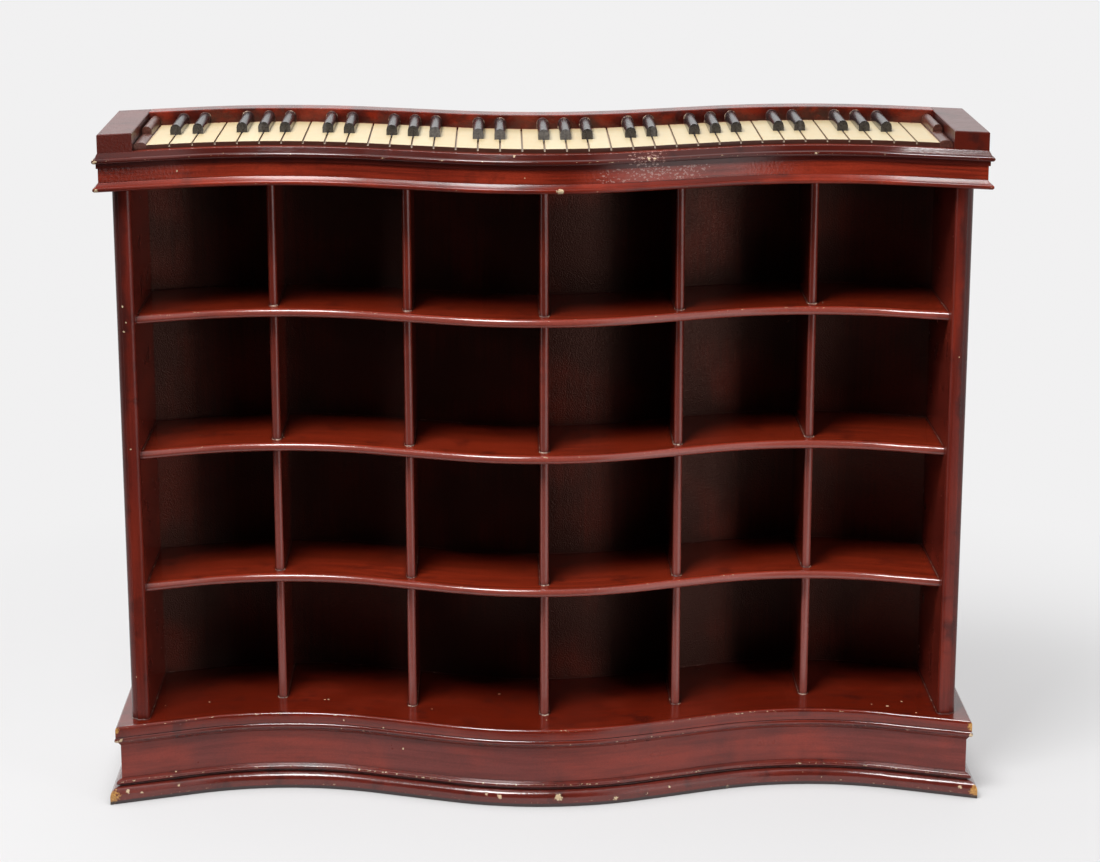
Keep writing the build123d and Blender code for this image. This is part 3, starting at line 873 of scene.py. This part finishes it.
def panel_outline():
    """Round the foot of the right side panel, from its inner face to its outer one."""
    front = line_y(SIDE_X, FRONT_SIDE)
    centre = front + PANEL_ROUND
    quirk = front + PANEL_QUIRK
    bead_x = SIDE_X - PANEL_BEAD
    run = line_y(INNER_X, BACK_INSET) - centre
    places = [(INNER_X, centre + run * k / INNER_POINTS) for k in range(INNER_POINTS, 0, -1)]
    return (
        [(place, (-1, 0)) for place in places]
        + arc((INNER_X + PANEL_ROUND, centre), PANEL_ROUND, pi, pi / 2, QUARTER_TURN)
        + [((bead_x, front), (0, -1)), ((bead_x, quirk), (0, -1))]
        + arc((bead_x, quirk + PANEL_BEAD), PANEL_BEAD, 1.5 * pi, pi / 2, QUARTER_TURN, first=1)
    )


def foot_seams():
    """Cracked paint lines where the uprights and the back stand on the boards."""
    seams = Lines("foot_seams", 0.8)
    outline = panel_outline()
    for row in range(ROWS):
        z = BASE_TOP + row * ROW_PITCH
        for column in range(1, COLUMNS):
            seams.run_flat(divider_outline(divider_x(column)), z)
        # The shelves start behind the rounded corners of the panels.
        used = outline if row == 0 else outline[:INNER_POINTS - 1]
        for side in (-1, 1):
            seams.run_flat(used, z, side)
        for column in range(COLUMNS):
            left = divider_x(column) + HALF_DIVIDER
            right = left + COLUMN_PITCH - 2 * HALF_DIVIDER
            points = [left + (right - left) * k / GAP_STEPS for k in range(GAP_STEPS + 1)]
            seams.run_flat([((x, line_y(x, BACK_INSET)), (0, -1)) for x in points], z)
    return seams


def nose_seams():
    """Fuller paint lines round the front of each divider's foot."""
    seams = Lines("nose_seams", 1.1)
    for row in range(ROWS):
        for column in range(1, COLUMNS):
            seams.run_flat(divider_nose(divider_x(column)), BASE_TOP + row * ROW_PITCH)
    return seams


def sharp_places():
    """X of each sharp, which stands over the kerf between two naturals."""
    for k in range(1, NATURALS):
        if k % 7 in (1, 2, 4, 5, 6):
            yield KEY_PITCH * k - NATURALS_X


def rail_lines():
    """Paint lines on the rail round the rear end of each sharp."""
    lines = Lines("rail_paint_lines", 1.0)
    half = SHARP_HALF + 0.1
    shoulder = NATURAL_TOP + SHARP_HEIGHT - SHARP_HALF
    heights = [NATURAL_TOP + 0.2 + k * 1.6 for k in range(3)]
    path = (
        [((-half, z), (-1, 0)) for z in heights]
        + arc((0.0, shoulder), half, pi, -pi, HALF_TURN)
        + [((half, z), (1, 0)) for z in heights[::-1]]
    )
    for middle in sharp_places():
        lines.run(
            [
                ((middle + px, line_y(middle + px, RAIL_INSET), pz), (ox, 0, oz), (0, -1, 0))
                for (px, pz), (ox, oz) in path
            ]
        )
    return lines


def kerf_drops(finish):
    """A drop of black paint in the kerf in front of each sharp."""
    bm = bmesh.new()
    for middle in sharp_places():
        made = bmesh.ops.create_icosphere(bm, subdivisions=2, radius=1.0)
        for vert in made["verts"]:
            point = vert.co.copy()
            swell = 1 + 0.25 * noise.noise(point * 1.3 + Vector((middle, 0, 0)))
            x = middle + point.x * DROP_WIDTH * swell
            y = line_y(middle, SHARP_INSET) - DROP_AHEAD + point.y * DROP_LENGTH * swell
            z = KERF_TOP + point.z * (DROP_RISE if point.z > 0 else DROP_SINK)
            vert.co = Vector((x, y, z)) * MM
    for face in bm.faces:
        face.smooth = True
    made = add_mesh("kerf_drops", bm, finish)
    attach(made, "root")


foot_seams().done(seam_finish("pale_paint_line", PALE_SEAM, 0.50), "mahogany_finish")
nose_seams().done(seam_finish("nose_paint_line", NOSE_SEAM, 0.46), "mahogany_finish")
rail_lines().done(seam_finish("rail_line", RAIL_SEAM, 0.42), "mahogany_finish")
kerf_drops(nodes["sharp_keys"].data.materials[0])

# Light, floor and camera.

# The studio is dark in front of the shelf, but not at its front right. These headings
# are in radians from straight in front, positive to the right.
DARK_FROM = (-1.30, -1.00)
DARK_UNTIL = (0.55, 0.34)
BACKDROP = 0.88  # white of floor and background as the camera sees it
PAPER_WHITE = (1.0, 0.995, 1.0, 1)
ROOM_LIGHT = 0.20  # world as light on the object
ROOM_MIRRORED = 0.80  # world as the lacquer mirrors it
FRONT_LEFT_MIRRORED = 0.45
DARK_MIRRORED = 0.012
# Two low lamps share one place, and only one of them shows in reflections.
LOW_PLACE = (1.3, -1.4, 0.36)
LOW_TARGET = (0.0, 0.0, 0.36)
LOW_SIZE = (0.42, 0.64)
FLOOR_RADIUS = 60.0
FLOOR_GREY = (0.67, 0.665, 0.67, 1)
FLOOR_DARK = (0.03, 0.03, 0.03, 1)
# Where the floor gets dark, so that it lights the object less, where its shadow fades
# out and where its dark front begins, in millimetres from the middle.
FLOOR_FAR = (850.0, 1700.0)
SHADOW_FADES = (520.0, 1150.0)
DARK_FLOOR_Y = (-190.0, -420.0)
NEAR_GLOW = 0.55  # share of the floor's glow near the object; paper is the rest
CONTACT_REACH = 45.0
CONTACT_SHADOW = 0.60


def lamp(name, place, target, size, watts, mirrored=True):
    """A soft box that the camera doesn't see."""
    data = bpy.data.lights.new(name, "AREA")
    data.shape = "RECTANGLE"
    data.size, data.size_y = size
    data.energy = watts
    made = add_object(name, data)
    made.visible_camera = False
    made.visible_glossy = mirrored
    made.location = place
    made.rotation_euler = (Vector(target) - Vector(place)).to_track_quat("-Z", "Y").to_euler()


def dark_front(g, x, y):
    """One where the studio is dark, nought elsewhere."""
    heading = g.math("ARCTAN2", x, g.math("MULTIPLY", y, -1.0))
    return g.math("MULTIPLY", g.ramp(heading, *DARK_FROM), g.ramp(heading, *DARK_UNTIL))


def studio_world():
    """White to the camera; as light and in reflections it is dark in front of the shelf."""
    world = bpy.data.worlds.new("studio")
    bpy.context.scene.world = world
    world.use_nodes = True
    g = Graph(world.node_tree)
    seen, mirrored = g.rays()
    x, y, _ = g.split(g.add("TexCoord").outputs["Generated"])
    dark = dark_front(g, x, y)
    ambient = g.choose(dark, ROOM_LIGHT, 0.0)
    front_left = g.math("MULTIPLY", g.ramp(x, 0.1, -0.1), g.ramp(y, 0.1, -0.1))
    bright = g.choose(front_left, ROOM_MIRRORED, FRONT_LEFT_MIRRORED)
    strength = g.choose(mirrored, ambient, g.choose(dark, bright, DARK_MIRRORED))
    strength = g.choose(seen, strength, BACKDROP)
    g.add("OutputWorld", g.add("Background", PAPER_WHITE, strength).outputs[0])


def studio_floor():
    """A wide pale floor that keeps the shadow near the object and fades to white."""
    finish, g = material("floor_paper")
    place = g.place()
    away = g.vector("LENGTH", place)
    x, y, _ = g.split(place)
    seen, mirrored = g.rays()
    front = g.math("MULTIPLY", dark_front(g, x, y), g.ramp(y, *DARK_FLOOR_Y))
    front = g.math("MULTIPLY", front, g.math("SUBTRACT", 1.0, seen))
    mirrored = g.math("MULTIPLY", mirrored, g.math("SUBTRACT", 1.0, front))
    share = g.ramp(away, *SHADOW_FADES, NEAR_GLOW, 1.0)
    share = g.math("MULTIPLY", g.math("MAXIMUM", seen, mirrored), share)
    far = g.ramp(away, *FLOOR_FAR)
    paper = g.add("BsdfDiffuse", g.mix(g.math("MAXIMUM", far, front), FLOOR_GREY, FLOOR_DARK))
    shade = g.math("MULTIPLY", g.shut(CONTACT_REACH), CONTACT_SHADOW)
    glow = g.add("Emission", PAPER_WHITE, g.math("SUBTRACT", BACKDROP, shade))
    both = g.add("MixShader", share, paper.outputs[0], glow.outputs[0])
    g.add("OutputMaterial", both.outputs[0])
    bm = bmesh.new()
    bmesh.ops.create_circle(bm, cap_ends=True, segments=64, radius=FLOOR_RADIUS)
    made = add_mesh("floor", bm, finish)


PHOTO_WIDTH = 1100
FOCAL_PIXELS = 2700.0
CAMERA_PLACE = (-0.045, -2.763, 1.129)
TILT = 13.8  # degrees below the level
TURN = -1.08
SHIFT = -0.06


def photo_camera():
    """The camera of the photograph, with a real tilt in place of most of its shift."""
    data = bpy.data.cameras.new("camera")
    data.sensor_width = 36.0
    data.lens = FOCAL_PIXELS / PHOTO_WIDTH * data.sensor_width
    data.shift_y = SHIFT
    data.clip_end = 200.0
    camera = add_object("camera", data)
    camera.location = CAMERA_PLACE
    camera.rotation_euler = (radians(90 - TILT), 0.0, radians(TURN))
    bpy.context.scene.camera = camera


lamp("key_box", (-0.70, -1.15, 2.7), (0.0, -0.1, 0.4), (1.0, 1.0), watts=86)
lamp("top_box", (0.0, 0.2, 2.6), (0.0, 0.0, 0.3), (2.2, 1.4), watts=8)
lamp("right_box", LOW_PLACE, LOW_TARGET, LOW_SIZE, watts=8, mirrored=False)
lamp("right_glint", LOW_PLACE, LOW_TARGET, LOW_SIZE, watts=7)
lamp("left_box", (-2.3, -1.1, 1.6), (0.0, 0.0, 0.35), (1.3, 1.7), watts=18)
lamp("rear_box", (0.0, 2.2, 2.2), (0.0, 0.2, 0.4), (2.6, 1.4), watts=22)
studio_world()
studio_floor()
photo_camera()
bpy.context.scene.view_settings.view_transform = "Standard"
